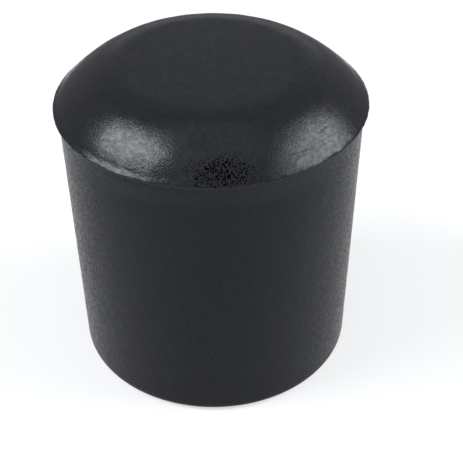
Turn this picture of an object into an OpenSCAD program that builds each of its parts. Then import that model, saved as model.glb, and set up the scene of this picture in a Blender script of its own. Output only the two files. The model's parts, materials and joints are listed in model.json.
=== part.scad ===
// Tube end cap: one moulded rubber piece that pushes over the end of a round tube.
// It stands on its mouth with the closed end up, and its axis is +Z. Sizes in millimetres.

/* [Socket] */
// Outside diameter of the tube that the cap is pushed onto
tube_d = 22; // [16:0.5:36]
// How much narrower than the tube the socket is, so that the rubber grips
grip = 0.4; // [0.1:0.1:0.8]
// Depth of the socket from the mouth to its floor
socket_depth = 25.5; // [16:0.5:40]
// Radius where the socket wall turns into the floor
floor_round = 1.5; // [0.5:0.25:3]
// Size of the bevel that leads the tube into the mouth
lead_in = 0.8; // [0.3:0.1:1.2]

/* [Wall] */
// Rubber thickness at the mouth
mouth_wall = 3.3; // [2.6:0.1:5]
// How much thicker the wall is under the lip than at the mouth
wall_gain = 0.45; // [0.1:0.05:1.5]
// Radius on the outer edge of the mouth
mouth_round = 0.8; // [0.3:0.1:1.2]

/* [Lip] */
// How far the lip stands out past the wall
lip_overhang = 0.45; // [0.4:0.05:1.5]
// Height from the underside of the lip to the foot of the bevel
lip_rim = 0.1; // [0.1:0.05:0.8]
// Width of the narrow land on top of the lip
lip_land = 0.4; // [0.2:0.05:0.6]
// Degrees by which the land is flatter than the bevel that runs onto it
land_kick = 6.5; // [4:0.5:15]
// Radius in the corner between the lip and the wall
lip_root = 0.3; // [0.1:0.05:0.35]

/* [Closed end] */
// Rubber thickness between the socket floor and the flat face
end_wall = 6.8; // [5.5:0.1:12]
// Height of the flat face above the foot of the bevel
head_rise = 4; // [3.6:0.1:4.6]
// Distance from the lip in to the flat face
bevel_width = 6.8; // [6.4:0.2:8]
// Radius of the curved bevel above the lip
bevel_r = 15.4; // [13:0.2:24]
// Radius that turns the bevel into the flat face
face_round = 6.1; // [5:0.1:6.4]

/* [Hidden] */

// Stations of the section, from the socket out to the lip
bore_r = (tube_d - grip) / 2;
mouth_r = bore_r + mouth_wall;
shoulder_r = mouth_r + wall_gain;
lip_r = shoulder_r + lip_overhang;
face_r = lip_r - bevel_width;

// Levels of the section, from the mouth up
cap_h = socket_depth + end_wall;
foot_z = cap_h - head_rise;
lip_z = foot_z - lip_rim;

// Lean of the outer wall, and its radius at a height
lean = atan2(wall_gain, lip_z);
function wall_r(z) = mouth_r + z * tan(lean);
function aim(a) = [cos(a), sin(a)];

// Arc on the outer edge of the mouth, touching the mouth plane and the wall
mouth_c = [wall_r(mouth_round) - mouth_round / cos(lean), mouth_round];

// Arc in the corner under the lip, touching the wall and the underside of the lip
root_c = [wall_r(lip_z - lip_root) + lip_root / cos(lean), lip_z - lip_root];

// Arc beside the flat face, and the bevel arc that meets it smoothly and runs down to its foot at the lip
face_c = [face_r, cap_h - face_round];
foot_gap = [lip_r, foot_z] - face_c;
core_r = bevel_r - face_round;
turn = acos((core_r ^ 2 + norm(foot_gap) ^ 2 - bevel_r ^ 2) / (2 * core_r * norm(foot_gap)));
blend_a = atan2(foot_gap[1], foot_gap[0]) - turn + 180;
bevel_c = face_c - core_r * aim(blend_a);

// Land of the lip: it leaves the bevel arc a little flatter than the arc is there
land_r = lip_r - lip_land;
land_a = acos((land_r - bevel_c[0]) / bevel_r);
land_fall = tan(90 - land_a - land_kick);
function land_z(r) = bevel_c[1] + bevel_r * sin(land_a) - (r - land_r) * land_fall;

// Middle of the lip's section, where the head stops inside it
lip_mid = [land_r + lip_land / 2, lip_z + lip_rim / 2];

// Arc between the socket wall and the socket floor
floor_c = [bore_r - floor_round, socket_depth - floor_round];

// How far the socket cut runs out past the mouth, and the core of the head past its ends
run_out = 1;
// Share of its radius by which a rounding crosses the faces beside it
arc_lap = 0.0005;
// Share of its radius by which the piece outside a rounding runs past its corner
corner_lap = 0.05;

// What lies outside a rounding about a centre, between two angles, out to the corner that it rounds
module spandrel(centre, r, from, to) {
    out = r * (1 + corner_lap);
    corner = out / cos((to - from) / 2) * aim((from + to) / 2);
    translate(centre)
        difference() {
            polygon([[0, 0], out * aim(from), corner, out * aim(to)]);
            circle(r = r * (1 + arc_lap), $fn = 240);
        }
}

// Half section of the tapered wall, with the rounded outer edge of its mouth
module wall_section() {
    difference() {
        polygon([[0, 0], [mouth_r, 0], [shoulder_r, lip_z], [shoulder_r, foot_z], [0, foot_z]]);
        spandrel(mouth_c, mouth_round, -90, -lean);
    }
}

// Half section of the lip: its upright rim, and the land that falls to it
module lip_section() {
    lip_in = land_r - lip_land;
    polygon([[mouth_r, lip_z], [lip_r, lip_z], [lip_r, land_z(lip_r)], [lip_in, land_z(lip_in)]]);
}

// Half section of the head: curved bevel and flat face
module head_section() {
    difference() {
        intersection() {
            translate([0, lip_mid[1]]) square([lip_mid[0], cap_h - lip_mid[1]]);
            union() {
                translate(bevel_c) circle(r = bevel_r, $fn = 360);
                translate([0, lip_z - run_out]) square([face_r, cap_h - lip_z + 2 * run_out]);
            }
        }
        spandrel(face_c, face_round, blend_a, 90);
    }
}

// Half section of the socket, run out past the mouth
module socket_section() {
    difference() {
        polygon([
            [0, -run_out],
            [bore_r + lead_in + run_out, -run_out],
            [bore_r, lead_in],
            [bore_r, socket_depth],
            [0, socket_depth]
        ]);
        spandrel(floor_c, floor_round, 0, 90);
    }
}

// The moulded rubber cap
module end_cap() {
    color([0.18, 0.18, 0.2])
        rotate_extrude($fn = 240)
            difference() {
                union() {
                    wall_section();
                    lip_section();
                    head_section();
                    spandrel(root_c, lip_root, 90, 180 - lean);
                }
                socket_section();
            }
}

end_cap();
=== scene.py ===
import json
import math

import bpy
from mathutils import Matrix, Vector, noise


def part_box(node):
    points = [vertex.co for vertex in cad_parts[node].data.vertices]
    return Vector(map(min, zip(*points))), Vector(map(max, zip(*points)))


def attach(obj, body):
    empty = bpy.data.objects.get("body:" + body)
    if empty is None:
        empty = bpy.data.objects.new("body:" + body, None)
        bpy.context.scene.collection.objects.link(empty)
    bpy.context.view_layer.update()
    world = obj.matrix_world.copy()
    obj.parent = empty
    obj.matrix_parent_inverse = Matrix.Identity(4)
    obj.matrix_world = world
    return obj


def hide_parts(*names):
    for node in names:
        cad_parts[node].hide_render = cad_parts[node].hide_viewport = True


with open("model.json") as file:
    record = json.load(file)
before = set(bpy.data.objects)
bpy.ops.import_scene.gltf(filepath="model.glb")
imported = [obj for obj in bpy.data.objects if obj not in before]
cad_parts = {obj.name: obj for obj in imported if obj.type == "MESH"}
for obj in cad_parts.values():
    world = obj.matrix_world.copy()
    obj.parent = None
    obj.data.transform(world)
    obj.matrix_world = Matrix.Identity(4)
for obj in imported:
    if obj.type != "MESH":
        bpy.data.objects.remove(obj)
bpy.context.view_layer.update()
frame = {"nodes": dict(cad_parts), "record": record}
mm = 0.001
print("frame loaded:", sorted(frame["nodes"]))


# the moulded cap, in millimetres and degrees
capSet = {
    # section, the same as the solid's
    "shape": {
        "mouthWall": 3.3,
        "wallGain": 0.45,       # the wall is this much thicker under the lip
        "mouthRound": 0.8,
        "leadIn": 0.8,
        "socketDepth": 25.5,
        "floorRound": 1.5,
        "lipOverhang": 0.45,
        "lipRim": 0.1,
        "lipLand": 0.4,         # narrow flat land on top of the lip
        "landKick": 6.5,        # degrees by which it is flatter than the bevel
        "lipRoot": 0.3,
        "rimRound": 0.08,       # softened edges of the rim
        "headRise": 4.0,
        "bevelWidth": 6.8,
        "bevelRadius": 15.4,
        "faceRound": 6.1,
        "sharpFrom": 38,        # degrees from which an edge stays crisp
    },
    # faces once round, and rows of them along each stretch of the section
    "rows": {
        "round": 480,
        "face": 9,
        "faceRound": 16,
        "bevel": 26,
        "land": 3,
        "rimRound": 4,
        "rim": 2,
        "underLip": 2,
        "lipRoot": 5,
        "wall": 54,
        "mouthRound": 8,
        "mouth": 3,
        "leadIn": 3,
        "bore": 16,
        "floorRound": 7,
        "floor": 5,
    },
    # what moulding, trimming and use leave on the rubber
    "flaws": {
        "rippleDepth": 0.012,   # slow unevenness of the skin
        "rippleSize": 1.3,
        "rippleFrom": 1.0,      # height from which it shows, so the mouth stands flat
        "trimDepth": 0.06,      # how far the knife wandered along the rim
        "trimSize": 0.55,
        "trimWaves": (1.0, 2.0, 3),
        "trimMost": 0.15,       # it cut in more than it left standing
        "trimReach": 0.5,       # how far from the rim the trimming shows
        "fillDepth": 0.035,     # the land runs into the bevel on one side
        "fillReach": 0.7,
        "fillTurn": 10,         # degrees from +X to the middle of that side
        "crumbDepth": 0.016,    # lumps along the land
        "crumbSize": 0.5,
        "wornDepth": 0.10,      # the rim is rubbed back on one side
        "wornTurn": -50,
        "wornFocus": 3,         # a higher power keeps the wear nearer to that side
        "seed": 7.3,
    },
}


def along(start, end, steps):
    # points after start, up to and including end
    return [(start[0] + (end[0] - start[0]) * i / steps,
             start[1] + (end[1] - start[1]) * i / steps) for i in range(1, steps + 1)]


def arc(centre, radius, fromDeg, toDeg, steps):
    angles = [math.radians(fromDeg + (toDeg - fromDeg) * i / steps) for i in range(steps + 1)]
    return [(centre[0] + radius * math.cos(a), centre[1] + radius * math.sin(a)) for a in angles]


def capSection(shape, rows, boreRadius, height):
    # half section from the middle of the flat face, out and down, to the middle of the socket floor
    mouthR = boreRadius + shape["mouthWall"]
    lipR = mouthR + shape["wallGain"] + shape["lipOverhang"]
    footZ = height - shape["headRise"]
    lipZ = footZ - shape["lipRim"]
    lean = math.atan2(shape["wallGain"], lipZ)
    leanDeg = math.degrees(lean)

    def wallR(z):
        return mouthR + z * math.tan(lean)

    # the face rounding, and the bevel arc that meets it smoothly and runs down to its foot at the lip
    bevelR = shape["bevelRadius"]
    faceC = Vector((lipR - shape["bevelWidth"], height - shape["faceRound"]))
    footGap = Vector((lipR, footZ)) - faceC
    coreR = bevelR - shape["faceRound"]
    cosTurn = (coreR ** 2 + footGap.length ** 2 - bevelR ** 2) / (2 * coreR * footGap.length)
    blendA = math.atan2(footGap.y, footGap.x) - math.acos(cosTurn) + math.pi
    bevelC = faceC - coreR * Vector((math.cos(blendA), math.sin(blendA)))
    blendDeg = math.degrees(blendA)

    # the land leaves the bevel arc a little flatter than the arc is there
    landR = lipR - shape["lipLand"]
    landA = math.acos((landR - bevelC.x) / bevelR)
    landDeg = math.degrees(landA)
    landIn = Vector((landR, bevelC.y + bevelR * math.sin(landA)))
    fallDeg = 90 - landDeg - shape["landKick"]
    rimTop = landIn.y - shape["lipLand"] * math.tan(math.radians(fallDeg))

    # upper edge of the rim, rolled over from the land
    rimRound = shape["rimRound"]
    rollR = lipR - rimRound
    rollDeg = 90 - fallDeg
    rollZ = rimTop - rimRound * math.tan(math.radians(rollDeg / 2))

    rootR, mouthRound, floorRound = shape["lipRoot"], shape["mouthRound"], shape["floorRound"]
    rootC = (wallR(lipZ - rootR) + rootR / math.cos(lean), lipZ - rootR)
    mouthC = (wallR(mouthRound) - mouthRound / math.cos(lean), mouthRound)
    floorC = (boreRadius - floorRound, shape["socketDepth"] - floorRound)

    head = along((0, height), (faceC.x, height), rows["face"])[:-1]
    head += arc(faceC, shape["faceRound"], 90, blendDeg, rows["faceRound"])
    head += arc(bevelC, bevelR, blendDeg, landDeg, rows["bevel"])[1:]
    landOut = arc((rollR, rollZ), rimRound, rollDeg, 0, rows["rimRound"])
    head += along(head[-1], landOut[0], rows["land"])
    wall = landOut[1:]
    wall += along((lipR, rollZ), (lipR, lipZ + rimRound), rows["rim"])
    wall += arc((rollR, lipZ + rimRound), rimRound, 0, -90, rows["rimRound"])[1:]
    wall += along((rollR, lipZ), (rootC[0], lipZ), rows["underLip"])[:-1]
    wall += arc(rootC, rootR, 90, 180 - leanDeg, rows["lipRoot"])
    wallFoot = arc(mouthC, mouthRound, -leanDeg, -90, rows["mouthRound"])
    wall += along(wall[-1], wallFoot[0], rows["wall"])
    wall += wallFoot[1:]
    wall += along((mouthC[0], 0), (boreRadius + shape["leadIn"], 0), rows["mouth"])
    socket = along(wall[-1], (boreRadius, shape["leadIn"]), rows["leadIn"])
    socket += along(socket[-1], (boreRadius, floorC[1]), rows["bore"])
    socket += arc(floorC, floorRound, 0, 90, rows["floorRound"])[1:]
    socket += along(socket[-1], (0, shape["socketDepth"]), rows["floor"])[:-1]
    return head, wall, socket, Vector((lipR, (rimTop + lipZ) / 2)), landIn


def makeCap(settings):
    shape, rows, flaws = settings["shape"], settings["rows"], settings["flaws"]
    mount = next(m for m in frame["record"]["mounts"] if m["name"] == "tube_socket")
    boreRadius = mount["dims"]["r_mm"]
    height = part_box("end_cap")[1].z / mm
    head, wall, socket, lip, land = capSection(shape, rows, boreRadius, height)
    path = head + wall + socket
    finishOf = [0] * len(head) + [1] * len(wall) + [2] * len(socket)
    wallEnd = len(head) + len(wall)
    fillSide = math.radians(flaws["fillTurn"])
    wornSide = math.radians(flaws["wornTurn"])
    count = rows["round"]
    seed = Vector((flaws["seed"], -flaws["seed"], flaws["seed"] / 2))
    verts = [(0, 0, height * mm)]
    for k, (r, z) in enumerate(path):
        before = path[max(k - 1, 0)]
        after = path[min(k + 1, len(path) - 1)]
        run = Vector((after[0] - before[0], after[1] - before[1])).normalized()
        outR, outZ = -run.y, run.x
        rimNear = max(0.0, 1 - (Vector((r, z)) - lip).length / flaws["trimReach"])
        landNear = max(0.0, 1 - (Vector((r, z)) - land).length / flaws["fillReach"])
        rippleHere = flaws["rippleDepth"] if k < wallEnd and z > flaws["rippleFrom"] else 0
        for i in range(count):
            turn = 2 * math.pi * i / count
            side = Vector((math.cos(turn), math.sin(turn), 0))
            spot = side * r + Vector((0, 0, z))
            push = rippleHere * noise.noise(spot / flaws["rippleSize"] + seed)
            push += flaws["fillDepth"] * landNear ** 2 * (0.5 + 0.5 * math.cos(turn - fillSide))
            push += flaws["crumbDepth"] * landNear * noise.noise(spot / flaws["crumbSize"] + seed)
            trim = noise.fractal(side * lip.x / flaws["trimSize"] + seed, *flaws["trimWaves"])
            cut = flaws["trimDepth"] * rimNear * min(trim, flaws["trimMost"])
            worn = max(0.0, math.cos(turn - wornSide)) ** flaws["wornFocus"]
            cut -= flaws["wornDepth"] * rimNear ** 2 * worn
            spot += side * (outR * push + cut) + Vector((0, 0, outZ * push))
            verts.append(spot * mm)
    verts.append((0, 0, shape["socketDepth"] * mm))

    def ring(k, i):
        return 1 + k * count + i % count

    last = len(path) - 1
    faces = [(0, ring(0, i), ring(0, i + 1)) for i in range(count)]
    finishes = [finishOf[0]] * count
    for k in range(last):
        faces += [(ring(k, i), ring(k + 1, i), ring(k + 1, i + 1), ring(k, i + 1)) for i in range(count)]
        finishes += [finishOf[k + 1]] * count
    faces += [(ring(last, i), len(verts) - 1, ring(last, i + 1)) for i in range(count)]
    finishes += [finishOf[last]] * count

    mesh = bpy.data.meshes.new("endCap")
    mesh.from_pydata(verts, [], faces)
    mesh.polygons.foreach_set("material_index", finishes)
    mesh.polygons.foreach_set("use_smooth", [True] * len(faces))
    mesh.set_sharp_from_angle(angle=math.radians(shape["sharpFrom"]))
    mesh.validate()
    cap = bpy.data.objects.new("endCap", mesh)
    bpy.context.scene.collection.objects.link(cap)
    return cap


cap = makeCap(capSet)
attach(cap, "root")
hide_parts("end_cap")
print("cap made:", len(cap.data.polygons), "faces")


def addNode(tree, kind, place, **values):
    node = tree.nodes.new(kind)
    node.location = place
    for name, value in values.items():
        if name in node.inputs:
            node.inputs[name].default_value = value
        else:
            setattr(node, name, value)
    return node


def addRange(tree, place, span, least=0.0, most=1.0):
    # a value that crosses the span goes from least to most
    node = addNode(tree, "ShaderNodeMapRange", place)
    ends = {"From Min": span[0], "From Max": span[1], "To Min": least, "To Max": most}
    for name, value in ends.items():
        node.inputs[name].default_value = value
    return node


# powdery moulded grain and cloudy mottling, shared by every finish of the rubber
grainSet = {
    "grainDetail": 2.0,
    "grainRough": 0.6,
    "mottleDetail": 5.0,
    "mottleRough": 0.65,
    "mottleSpan": (0.3, 0.7),
}


def makeGrainGroup(settings):
    tree = bpy.data.node_groups.new("rubberGrain", "ShaderNodeTree")
    face = tree.interface
    face.new_socket("Vector", in_out="INPUT", socket_type="NodeSocketVector")
    for name in ("Grain Scale", "Mottle Scale"):
        face.new_socket(name, in_out="INPUT", socket_type="NodeSocketFloat")
    for name in ("Grain", "Mottle"):
        face.new_socket(name, in_out="OUTPUT", socket_type="NodeSocketFloat")
    inside = addNode(tree, "NodeGroupInput", (-600, 0))
    outside = addNode(tree, "NodeGroupOutput", (500, 0))
    grain = addNode(tree, "ShaderNodeTexNoise", (-250, 200),
                    Detail=settings["grainDetail"], Roughness=settings["grainRough"])
    mottle = addNode(tree, "ShaderNodeTexNoise", (-250, -150),
                     Detail=settings["mottleDetail"], Roughness=settings["mottleRough"])
    spread = addRange(tree, (100, -150), settings["mottleSpan"])
    link = tree.links.new
    for node, size in ((grain, "Grain Scale"), (mottle, "Mottle Scale")):
        link(inside.outputs["Vector"], node.inputs["Vector"])
        link(inside.outputs[size], node.inputs["Scale"])
    link(mottle.outputs["Fac"], spread.inputs["Value"])
    link(grain.outputs["Fac"], outside.inputs["Grain"])
    link(spread.outputs["Result"], outside.inputs["Mottle"])
    return tree


grainGroup = makeGrainGroup(grainSet)

headLook = {
    "dark": (0.0108, 0.0115, 0.0143, 1),
    "pale": (0.0135, 0.0141, 0.0171, 1),
    "rough": (0.18, 0.26),      # in the dark of the mottling and in the pale
    "specular": 0.19,
    "grainScale": 5200.0,
    "mottleScale": 1500.0,
    "bumpDepth": 0.000018,
}
wallLook = {
    "dark": (0.0086, 0.0092, 0.0121, 1),
    "pale": (0.0157, 0.0166, 0.0210, 1),
    "rough": (0.12, 0.52),
    "specular": 0.10,
    "grainScale": 5000.0,
    "mottleScale": 3000.0,
    "bumpDepth": 0.00005,
}
socketLook = {
    "dark": (0.0120, 0.0122, 0.0135, 1),
    "pale": (0.0200, 0.0200, 0.0210, 1),
    "rough": (0.45, 0.65),
    "specular": 0.16,
    "grainScale": 2200.0,
    "mottleScale": 420.0,
    "bumpDepth": 0.00002,
}


def makeRubber(name, look):
    material = bpy.data.materials.new(name)
    material.use_nodes = True
    tree = material.node_tree
    shader = tree.nodes["Principled BSDF"]
    shader.inputs["Specular IOR Level"].default_value = look["specular"]
    place = addNode(tree, "ShaderNodeTexCoord", (-1700, 0), name="place")
    grain = addNode(tree, "ShaderNodeGroup", (-1100, 0), node_tree=grainGroup)
    grain.inputs["Grain Scale"].default_value = look["grainScale"]
    grain.inputs["Mottle Scale"].default_value = look["mottleScale"]
    tint = addNode(tree, "ShaderNodeMix", (-600, 250), data_type="RGBA")
    tint.inputs["A"].default_value = look["dark"]
    tint.inputs["B"].default_value = look["pale"]
    rough = addRange(tree, (-600, 0), (0.0, 1.0), *look["rough"])
    bump = addNode(tree, "ShaderNodeBump", (-300, -300), Distance=look["bumpDepth"])
    link = tree.links.new
    link(place.outputs["Object"], grain.inputs["Vector"])
    link(grain.outputs["Mottle"], tint.inputs["Factor"])
    link(grain.outputs["Mottle"], rough.inputs["Value"])
    link(grain.outputs["Grain"], bump.inputs["Height"])
    link(tint.outputs["Result"], shader.inputs["Base Color"])
    link(rough.outputs["Result"], shader.inputs["Roughness"])
    link(bump.outputs["Normal"], shader.inputs["Normal"])
    return material


# polished spots on the head, and dull rubbing marks on one side of its bevel
wearLook = {
    "polish": 0.28,                     # most coat that a polished spot has
    "polishRough": 0.15,
    "polishSpan": (0.42, 0.68),
    "polishDetail": 4.0,
    "polishBreak": 0.7,                 # how broken the spots are
    "polishStretch": (1900.0, 1900.0, 3600.0),
    "scuffAbove": (0.0287, 0.0292),     # the marks stop short of the lip
    "scuffBeyond": (0.0055, 0.008),     # and lie on the +X side
    "scuffFront": (-0.0055, -0.008),    # of the front
    "scuffTilt": -3,                    # degrees that they slant
    "scuffStretch": (210.0, 210.0, 4200.0),
    "scuffSpan": (0.55, 0.72),          # only the deepest show
    "scuffRough": 0.6,
}


def addHeadWear(material, look):
    tree = material.node_tree
    place = tree.nodes["place"]
    shader = tree.nodes["Principled BSDF"]
    shader.inputs["Coat Roughness"].default_value = look["polishRough"]
    spread = addNode(tree, "ShaderNodeMapping", (-1450, -300), Scale=look["polishStretch"])
    spots = addNode(tree, "ShaderNodeTexNoise", (-1250, -300), Scale=1.0,
                    Detail=look["polishDetail"], Roughness=look["polishBreak"])
    polish = addRange(tree, (-850, -300), look["polishSpan"], most=look["polish"])
    link = tree.links.new
    link(place.outputs["Object"], spread.inputs["Vector"])
    link(spread.outputs["Vector"], spots.inputs["Vector"])
    link(spots.outputs["Fac"], polish.inputs["Value"])
    link(polish.outputs["Result"], shader.inputs["Coat Weight"])

    # where the marks are
    axes = addNode(tree, "ShaderNodeSeparateXYZ", (-1450, -700))
    above = addRange(tree, (-1250, -600), look["scuffAbove"])
    beyond = addRange(tree, (-1250, -850), look["scuffBeyond"])
    front = addRange(tree, (-1050, -900), look["scuffFront"])
    side = addNode(tree, "ShaderNodeMath", (-1050, -700), operation="MULTIPLY")
    zone = addNode(tree, "ShaderNodeMath", (-850, -700), operation="MULTIPLY")
    link(place.outputs["Object"], axes.inputs["Vector"])
    link(axes.outputs["Z"], above.inputs["Value"])
    link(axes.outputs["X"], beyond.inputs["Value"])
    link(axes.outputs["Y"], front.inputs["Value"])
    link(beyond.outputs["Result"], side.inputs[0])
    link(front.outputs["Result"], side.inputs[1])
    link(above.outputs["Result"], zone.inputs[0])
    link(side.outputs["Value"], zone.inputs[1])

    # the marks themselves
    slant = (0, math.radians(look["scuffTilt"]), 0)
    tilt = addNode(tree, "ShaderNodeMapping", (-1650, -1100), Rotation=slant)
    stretch = addNode(tree, "ShaderNodeMapping", (-1450, -1100), Scale=look["scuffStretch"])
    marks = addNode(tree, "ShaderNodeTexNoise", (-1250, -1100), Scale=1.0, Detail=2.0, Roughness=0.5)
    deepest = addRange(tree, (-1050, -1100), look["scuffSpan"])
    dulled = addNode(tree, "ShaderNodeMath", (-850, -900), operation="MULTIPLY")
    scuffs = addNode(tree, "ShaderNodeMix", (-350, 100))
    scuffs.inputs["B"].default_value = look["scuffRough"]
    link(place.outputs["Object"], tilt.inputs["Vector"])
    link(tilt.outputs["Vector"], stretch.inputs["Vector"])
    link(stretch.outputs["Vector"], marks.inputs["Vector"])
    link(marks.outputs["Fac"], deepest.inputs["Value"])
    link(deepest.outputs["Result"], dulled.inputs[0])
    link(zone.outputs["Value"], dulled.inputs[1])
    link(dulled.outputs["Value"], scuffs.inputs["Factor"])
    link(shader.inputs["Roughness"].links[0].from_socket, scuffs.inputs["A"])
    link(scuffs.outputs["Result"], shader.inputs["Roughness"])


# painted light on the wall: paler higher up, which evens out the darker top that the lighting gives it,
# and palest in the corner under the lip, painted over the lip's shadow
paintedWallLight = {
    "color": (0.0290, 0.0303, 0.0355, 1),
    "wall": {"heights": (0.0, 0.028), "most": 0.48},
    "corner": {"heights": (0.0255, 0.0278), "most": 0.75},
}


def addPaintedWallLight(material, look):
    tree = material.node_tree
    shader = tree.nodes["Principled BSDF"]
    axes = addNode(tree, "ShaderNodeSeparateXYZ", (-1100, 600))
    both = addNode(tree, "ShaderNodeMath", (-500, 600), operation="ADD", use_clamp=True)
    # painted light: the wall's colour is lifted towards a paler one with height, and most under the lip,
    # over its shadow
    paler = addNode(tree, "ShaderNodeMix", (-250, 400), data_type="RGBA")
    paler.inputs["B"].default_value = look["color"]
    link = tree.links.new
    link(tree.nodes["place"].outputs["Object"], axes.inputs["Vector"])
    for k, part in enumerate((look["wall"], look["corner"])):
        rise = addRange(tree, (-800, 700 - 300 * k), part["heights"], most=part["most"])
        link(axes.outputs["Z"], rise.inputs["Value"])
        link(rise.outputs["Result"], both.inputs[k])
    link(both.outputs["Value"], paler.inputs["Factor"])
    link(shader.inputs["Base Color"].links[0].from_socket, paler.inputs["A"])
    link(paler.outputs["Result"], shader.inputs["Base Color"])


# painted shade of small pits: black, glossless flecks over a rounded patch, thick on the front of the
# bevel and sparse on the front of the wall, stand in for the shade inside pits that the mesh doesn't
# have
pitShadeSet = {
    "patchSpan": (0.2, 1.0),    # from the middle of a patch to its edge
    "outside": -0.12,           # past the edge there are none
    "pitSpan": (0.66, 0.69),
}


def makePitShadeGroup(settings):
    tree = bpy.data.node_groups.new("rubberPits", "ShaderNodeTree")
    face = tree.interface
    for name in ("Vector", "Offset", "Spans", "Stretch"):
        face.new_socket(name, in_out="INPUT", socket_type="NodeSocketVector")
    face.new_socket("Most", in_out="INPUT", socket_type="NodeSocketFloat")
    face.new_socket("Pits", in_out="OUTPUT", socket_type="NodeSocketFloat")
    inside = addNode(tree, "NodeGroupInput", (-700, 0))
    outside = addNode(tree, "NodeGroupOutput", (700, 0))
    near = addNode(tree, "ShaderNodeMapping", (-450, 200))
    far = addNode(tree, "ShaderNodeVectorMath", (-250, 200), operation="LENGTH")
    patch = addRange(tree, (-50, 200), settings["patchSpan"], most=settings["outside"])
    patch.interpolation_type = "SMOOTHSTEP"
    even = addNode(tree, "ShaderNodeMapping", (-450, -200))
    flecks = addNode(tree, "ShaderNodeTexNoise", (-250, -200), Scale=1.0, Detail=1.0)
    lifted = addNode(tree, "ShaderNodeMath", (200, 0), operation="ADD")
    pits = addRange(tree, (450, 0), settings["pitSpan"])
    link = tree.links.new
    link(inside.outputs["Vector"], near.inputs["Vector"])
    link(inside.outputs["Offset"], near.inputs["Location"])
    link(inside.outputs["Spans"], near.inputs["Scale"])
    link(near.outputs["Vector"], far.inputs[0])
    link(far.outputs["Value"], patch.inputs["Value"])
    link(inside.outputs["Most"], patch.inputs["To Min"])
    link(inside.outputs["Vector"], even.inputs["Vector"])
    link(inside.outputs["Stretch"], even.inputs["Scale"])
    link(even.outputs["Vector"], flecks.inputs["Vector"])
    link(flecks.outputs["Fac"], lifted.inputs[0])
    link(patch.outputs["Result"], lifted.inputs[1])
    link(lifted.outputs["Value"], pits.inputs["Value"])
    link(pits.outputs["Result"], outside.inputs["Pits"])
    return tree


pitShadeGroup = makePitShadeGroup(pitShadeSet)

# painted shade of pits on the front of the bevel
bevelPitShade = {
    "middle": (0.0009, -0.0140, 0.0292),
    "reach": (0.0053, 0.0036, 0.0025),
    "stretch": (8400.0, 6200.0, 6200.0),
    "most": 0.16,
    "color": (0.0004, 0.0004, 0.0006, 1),
    "rough": 0.9,
}
# painted shade of pits on the front of the wall
wallPitShade = {
    "middle": (0.0, -0.0143, 0.0130),
    "reach": (0.0080, 0.0080, 0.0180),
    "stretch": (5600.0, 5600.0, 4800.0),
    "most": -0.055,
    "color": (0.0006, 0.0006, 0.0008, 1),
    "rough": 0.9,
}


def addPitShade(material, look):
    tree = material.node_tree
    shader = tree.nodes["Principled BSDF"]
    spans = [1 / reach for reach in look["reach"]]
    pits = addNode(tree, "ShaderNodeGroup", (-650, 600), node_tree=pitShadeGroup)
    pits.inputs["Offset"].default_value = [-middle * span for middle, span in zip(look["middle"], spans)]
    pits.inputs["Spans"].default_value = spans
    pits.inputs["Stretch"].default_value = look["stretch"]
    pits.inputs["Most"].default_value = look["most"]
    link = tree.links.new
    link(tree.nodes["place"].outputs["Object"], pits.inputs["Vector"])

    # painted shade: a black metal has no gloss, like the shaded inside of a deep pit
    link(pits.outputs["Pits"], shader.inputs["Metallic"])
    changes = [("Base Color", "RGBA", look["color"]), ("Roughness", "FLOAT", look["rough"])]
    if shader.inputs["Coat Weight"].is_linked:
        changes.append(("Coat Weight", "FLOAT", 0.0))
    for k, (name, kind, value) in enumerate(changes):
        mix = addNode(tree, "ShaderNodeMix", (-250, 400 - 250 * k), data_type=kind)
        mix.inputs["B"].default_value = value
        link(pits.outputs["Pits"], mix.inputs["Factor"])
        link(shader.inputs[name].links[0].from_socket, mix.inputs["A"])
        link(mix.outputs["Result"], shader.inputs[name])


rubberHead = makeRubber("rubberHead", headLook)
addHeadWear(rubberHead, wearLook)
addPitShade(rubberHead, bevelPitShade)
rubberWall = makeRubber("rubberWall", wallLook)
addPaintedWallLight(rubberWall, paintedWallLight)
addPitShade(rubberWall, wallPitShade)
rubberSocket = makeRubber("rubberSocket", socketLook)
for rubber in (rubberHead, rubberWall, rubberSocket):
    cap.data.materials.append(rubber)
print("rubber made")


# white card that the cap stands on, a little larger than the camera sees
floorSet = {
    "half": 0.054,
    "front": 0.080,
    "back": 0.084,
    "color": (0.50, 0.50, 0.51, 1),
    "shade": (0.37, 0.375, 0.38, 1),    # the part of the seen white that takes the shadow
    "glow": 0.60,                       # the part that doesn't
}


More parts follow.
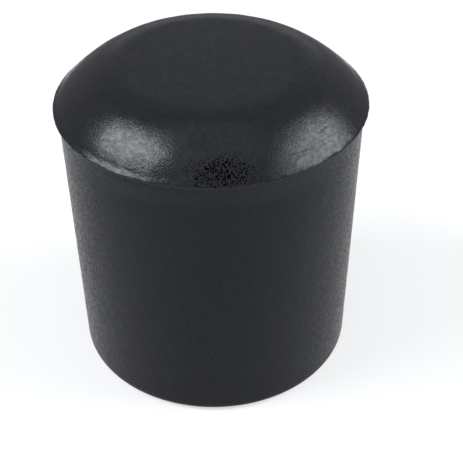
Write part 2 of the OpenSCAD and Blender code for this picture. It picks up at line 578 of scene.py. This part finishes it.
def makeFloor(settings):
    white = bpy.data.materials.new("whiteCard")
    white.use_nodes = True
    tree = white.node_tree
    tree.nodes.remove(tree.nodes["Principled BSDF"])
    plain = addNode(tree, "ShaderNodeBsdfDiffuse", (-300, -200), Color=settings["color"])
    shade = addNode(tree, "ShaderNodeBsdfDiffuse", (-500, 100), Color=settings["shade"])
    glow = addNode(tree, "ShaderNodeEmission", (-500, 0), Strength=settings["glow"])
    seen = addNode(tree, "ShaderNodeAddShader", (-300, 50))
    path = addNode(tree, "ShaderNodeLightPath", (-900, 400))
    either = addNode(tree, "ShaderNodeMath", (-650, 400), operation="MAXIMUM")
    anySeen = addNode(tree, "ShaderNodeMath", (-450, 400), operation="MAXIMUM")
    pick = addNode(tree, "ShaderNodeMixShader", (-50, 0))
    link = tree.links.new
    link(path.outputs["Is Camera Ray"], either.inputs[0])
    link(path.outputs["Is Glossy Ray"], either.inputs[1])
    link(either.outputs["Value"], anySeen.inputs[0])
    link(path.outputs["Is Transmission Ray"], anySeen.inputs[1])
    link(shade.outputs["BSDF"], seen.inputs[0])
    link(glow.outputs["Emission"], seen.inputs[1])
    link(anySeen.outputs["Value"], pick.inputs["Fac"])
    link(plain.outputs["BSDF"], pick.inputs[1])
    link(seen.outputs["Shader"], pick.inputs[2])
    link(pick.outputs["Shader"], tree.nodes["Material Output"].inputs["Surface"])

    half, front, back = settings["half"], -settings["front"], settings["back"]
    corners = [(-half, front, 0), (half, front, 0), (half, back, 0), (-half, back, 0)]
    mesh = bpy.data.meshes.new("card")
    mesh.from_pydata(corners, [], [(0, 1, 2, 3)])
    mesh.materials.append(white)
    card = bpy.data.objects.new("card", mesh)
    bpy.context.scene.collection.objects.link(card)


makeFloor(floorSet)
print("floor made")

# soft studio light: a round box on each side, a weak sheet behind the right one,
# fill from above and in front, a faint glow from behind, and the grey of the room
lightSet = {
    "roomLow": (0.34, 0.34, 0.35, 1),
    "roomHigh": (0.24, 0.24, 0.25, 1),
    "roomBack": (0.23, 0.23, 0.24, 1),  # low behind the cap, where the room is darker
    "backFall": 2.0,                    # how fast that ends upward
    "color": (0.95, 0.975, 1.0),
    "aim": (0, 0, 0.028),
    "boxes": {
        "leftBox": {
            "turn": -81.5, "rise": 48.2, "away": 0.36, "lean": 36,
            "size": (0.268, 0.135), "watts": 1.13,
        },
        "rightBox": {
            "turn": 90, "rise": 34.7, "away": 0.36, "lean": -22,
            "size": (0.255, 0.165), "watts": 0.64,
        },
        "rightSheet": {
            "turn": 86, "rise": 35, "away": 0.42, "lean": -22,
            "size": (0.44, 0.26), "watts": 0.62,
        },
        "topSheet": {
            "turn": 0, "rise": 76, "away": 0.40, "lean": 0,
            "size": (0.36, 0.46), "watts": 0.19,
        },
        "frontFill": {
            "turn": 0, "rise": 20, "away": 0.42, "lean": 0,
            "size": (0.60, 0.28), "watts": 0.33,
        },
        "backGlow": {
            "turn": 178, "rise": 11.5, "away": 0.40, "lean": 0,
            "size": (0.32, 0.13), "watts": 0.026,
        },
    },
}


def makeLights(settings):
    world = bpy.data.worlds.new("room")
    world.use_nodes = True
    tree = world.node_tree
    place = addNode(tree, "ShaderNodeTexCoord", (-900, 0))
    axes = addNode(tree, "ShaderNodeSeparateXYZ", (-700, 0))
    room = addNode(tree, "ShaderNodeMix", (-400, 0), data_type="RGBA")
    room.inputs["A"].default_value = settings["roomLow"]
    room.inputs["B"].default_value = settings["roomHigh"]
    low = addNode(tree, "ShaderNodeMath", (-400, -250), operation="MULTIPLY_ADD")
    low.inputs[1].default_value = -settings["backFall"]
    deep = addNode(tree, "ShaderNodeMix", (-200, 0), data_type="RGBA")
    deep.inputs["B"].default_value = settings["roomBack"]
    link = tree.links.new
    link(place.outputs["Generated"], axes.inputs["Vector"])
    link(axes.outputs["Z"], room.inputs["Factor"])
    link(axes.outputs["Z"], low.inputs[0])
    link(axes.outputs["Y"], low.inputs[2])
    link(low.outputs["Value"], deep.inputs["Factor"])
    link(room.outputs["Result"], deep.inputs["A"])
    link(deep.outputs["Result"], tree.nodes["Background"].inputs["Color"])
    bpy.context.scene.world = world

    aim = Vector(settings["aim"])
    for name, box in settings["boxes"].items():
        turn, rise = math.radians(box["turn"]), math.radians(box["rise"])
        way = Vector((math.sin(turn) * math.cos(rise), -math.cos(turn) * math.cos(rise), math.sin(rise)))
        lamp = bpy.data.lights.new(name, "AREA")
        lamp.shape = "ELLIPSE"
        lamp.size, lamp.size_y = box["size"]
        lamp.energy = box["watts"]
        lamp.color = settings["color"]
        holder = bpy.data.objects.new(name, lamp)
        holder.location = aim + way * box["away"]
        facing = (-way).to_track_quat("-Z", "Y").to_matrix()
        holder.rotation_euler = (facing @ Matrix.Rotation(math.radians(box["lean"]), 3, "Z")).to_euler()
        holder.visible_camera = False
        bpy.context.scene.collection.objects.link(holder)


makeLights(lightSet)
print("lights made")

# camera at the photograph's viewing angle
cameraSet = {
    "lens": 80.6,           # millimetres, like the sensor
    "sensor": 36,
    "nearest": 0.005,
    "away": 0.10892,
    "lookDown": 38.29,      # degrees, like the roll
    "roll": -0.4,
    "aim": (0.00183, 0, 0.01196),
}


def makeCamera(settings):
    lens = bpy.data.cameras.new("camera")
    lens.lens = settings["lens"]
    lens.sensor_width = settings["sensor"]
    lens.clip_start = settings["nearest"]
    camera = bpy.data.objects.new("camera", lens)
    down = math.radians(settings["lookDown"])
    aim = Vector(settings["aim"])
    camera.location = (0, -settings["away"] * math.cos(down), aim.z + settings["away"] * math.sin(down))
    look = (aim - camera.location).to_track_quat("-Z", "Y").to_matrix()
    camera.rotation_euler = (look @ Matrix.Rotation(math.radians(settings["roll"]), 3, "Z")).to_euler()
    bpy.context.scene.collection.objects.link(camera)
    bpy.context.scene.camera = camera


makeCamera(cameraSet)
bpy.context.scene.view_settings.view_transform = "Standard"
print("camera made")
